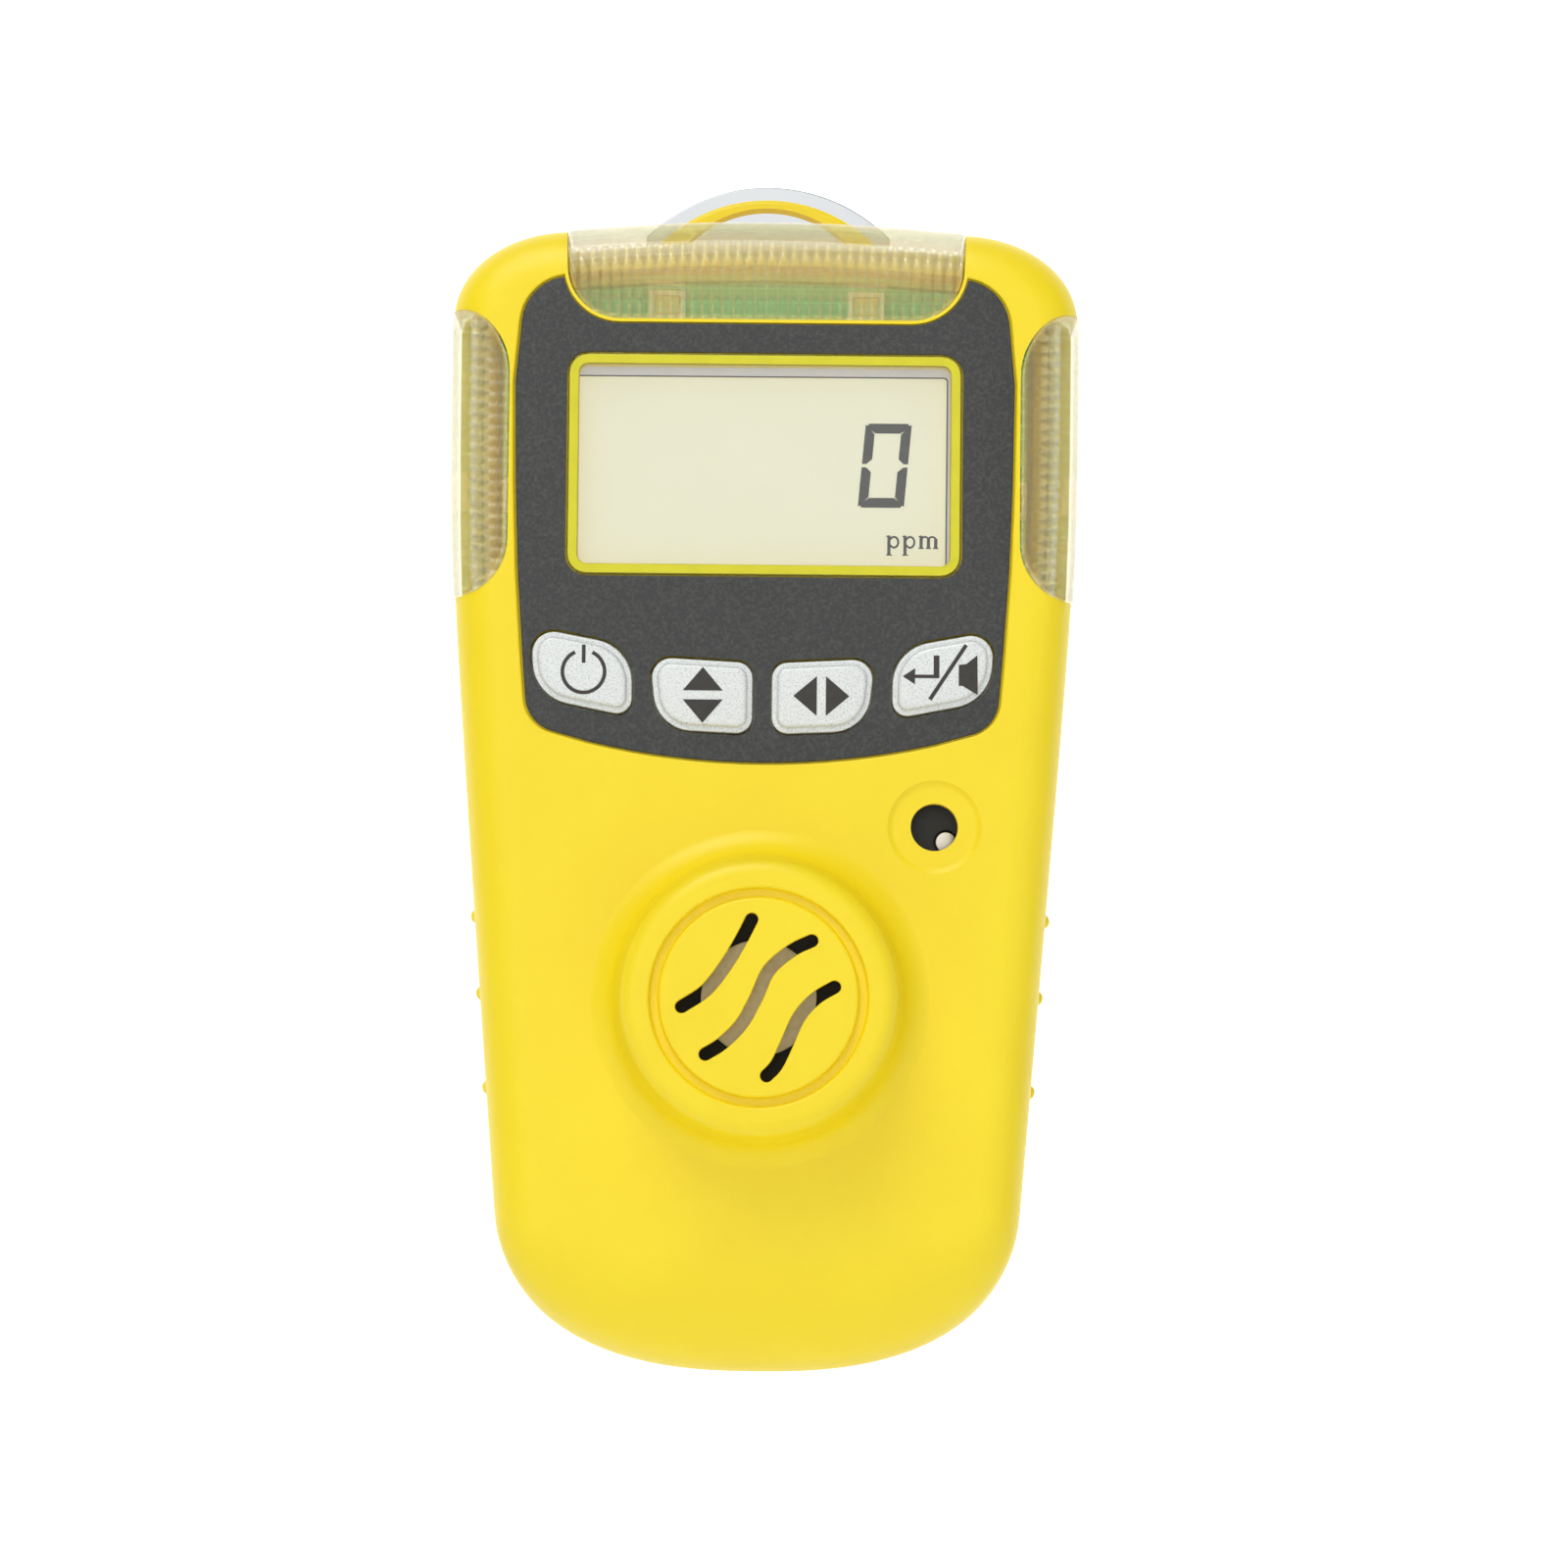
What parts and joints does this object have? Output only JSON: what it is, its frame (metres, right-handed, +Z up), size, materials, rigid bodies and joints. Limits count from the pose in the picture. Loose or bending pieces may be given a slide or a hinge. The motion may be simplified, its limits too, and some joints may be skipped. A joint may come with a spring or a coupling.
{
  "type": "portable gas detector",
  "caption": "Hand-sized gas detector: two-shell casing with clear alarm lenses, display, keypad, slotted sensor boss, buzzer port, lanyard loop and sprung belt clip.",
  "frame": {"origin": "where the belt clip's jaw grips, on the clip plate's rear face, midway across", "axes": "+X to the right seen from the front, +Y from the display towards the belt clip, +Z up along the casing"},
  "size_m": [0.0592, 0.0452, 0.1179],
  "materials": {
    "casing": "satin moulded yellow ABS",
    "lens": "clear polycarbonate, fluted inside",
    "faceplate": "dark fine-grained overlay film",
    "window": "clear hard-coated acrylic",
    "keys": "silver-painted silicone rubber",
    "lcd": "reflective liquid crystal display",
    "white_plastic": "moulded white nylon",
    "board": "green solder mask over glass fibre",
    "black_plastic": "moulded black plastic",
    "rubber": "black silicone rubber",
    "amber_seal": "amber silicone cord",
    "led": "phosphor-yellow LED package",
    "steel": "nickel-plated steel",
    "chrome": "polished chromed steel sheet",
    "gold": "gold-plated contact",
    "filter": "porous PTFE disc",
    "cell_housing": "moulded light grey plastic",
    "battery_wrap": "blue heat-shrink wrap",
    "foam": "grey closed-cell foam",
    "label": "blank polyester label",
    "red_wire": "red insulated wire",
    "black_wire": "black insulated wire"
  },
  "bodies": {
    "casing": {"front_shell": "casing", "rear_shell": "casing", "case_seal": "amber_seal", "top_alarm_lens": "lens", "left_alarm_lens": "lens", "right_alarm_lens": "lens", "faceplate": "faceplate", "display_window": "window", "main_pcb": "board", "lcd_panel": "lcd", "lcd_holder": "white_plastic", "tact_switch_1": "black_plastic", "tact_switch_2": "black_plastic", "tact_switch_3": "black_plastic", "tact_switch_4": "black_plastic", "alarm_led_top_left": "led", "alarm_led_top_right": "led", "alarm_led_left": "led", "alarm_led_right": "led", "buzzer": "black_plastic", "buzzer_gasket": "foam", "vibration_motor": "steel", "motor_holder": "rubber", "sensor_cell": "cell_housing", "sensor_filter": "filter", "sensor_gasket": "rubber", "sensor_socket": "black_plastic", "battery_pack": "battery_wrap", "battery_pad": "foam", "battery_connector": "white_plastic", "battery_lead_positive": "red_wire", "battery_lead_negative": "black_wire", "charge_contact_left": "gold", "charge_contact_right": "gold", "rating_label": "label", "case_screw_top_left": "steel", "case_screw_top_right": "steel", "case_screw_low_left": "steel", "case_screw_low_right": "steel", "board_screw_upper": "steel", "board_screw_lower": "steel", "clip_plate": "chrome", "clip_pin": "steel", "clip_spring": "steel", "clip_screw": "steel"},
    "key_power": {"key_power": "keys"},
    "key_up_down": {"key_up_down": "keys"},
    "key_left_right": {"key_left_right": "keys"},
    "key_enter_mute": {"key_enter_mute": "keys"},
    "tact_button_1": {"tact_button_1": "white_plastic"},
    "tact_button_2": {"tact_button_2": "white_plastic"},
    "tact_button_3": {"tact_button_3": "white_plastic"},
    "tact_button_4": {"tact_button_4": "white_plastic"},
    "clip_lever": {"clip_lever": "chrome"},
    "motor_weight": {"motor_weight": "steel"}
  },
  "joints": [
    {"name": "key_power_press", "type": "slide", "parent": "casing", "child": "key_power", "axis": [0, 1, 0], "range_m": [0, 0.0005], "stiffness_N_per_m": 600},
    {"name": "key_up_down_press", "type": "slide", "parent": "casing", "child": "key_up_down", "axis": [0, 1, 0], "range_m": [0, 0.0005], "stiffness_N_per_m": 600},
    {"name": "key_left_right_press", "type": "slide", "parent": "casing", "child": "key_left_right", "axis": [0, 1, 0], "range_m": [0, 0.0005], "stiffness_N_per_m": 600},
    {"name": "key_enter_mute_press", "type": "slide", "parent": "casing", "child": "key_enter_mute", "axis": [0, 1, 0], "range_m": [0, 0.0005], "stiffness_N_per_m": 600},
    {"name": "tact_button_1_press", "type": "slide", "parent": "casing", "child": "tact_button_1", "axis": [0, 1, 0], "range_m": [0, 0.0003]},
    {"name": "tact_button_2_press", "type": "slide", "parent": "casing", "child": "tact_button_2", "axis": [0, 1, 0], "range_m": [0, 0.0003]},
    {"name": "tact_button_3_press", "type": "slide", "parent": "casing", "child": "tact_button_3", "axis": [0, 1, 0], "range_m": [0, 0.0003]},
    {"name": "tact_button_4_press", "type": "slide", "parent": "casing", "child": "tact_button_4", "axis": [0, 1, 0], "range_m": [0, 0.0003]},
    {"name": "clip_hinge", "type": "hinge", "parent": "casing", "child": "clip_lever", "pos_m": [0, 0.0027, 0.0375], "axis": [1, 0, 0], "range_deg": [0, 15], "stiffness_Nm_per_rad": 0.25, "springref_deg": -28.65, "deforming": ["clip_spring"]},
    {"name": "motor_spin", "type": "hinge", "parent": "casing", "child": "motor_weight", "pos_m": [-0.019, -0.0208, -0.0015], "axis": [0, 0, 1], "continuous": true}
  ],
  "couplings": [
    {"joint": "tact_button_1_press", "follows": "key_power_press", "ratio": 0.6},
    {"joint": "tact_button_2_press", "follows": "key_up_down_press", "ratio": 0.6},
    {"joint": "tact_button_3_press", "follows": "key_left_right_press", "ratio": 0.6},
    {"joint": "tact_button_4_press", "follows": "key_enter_mute_press", "ratio": 0.6}
  ]
}
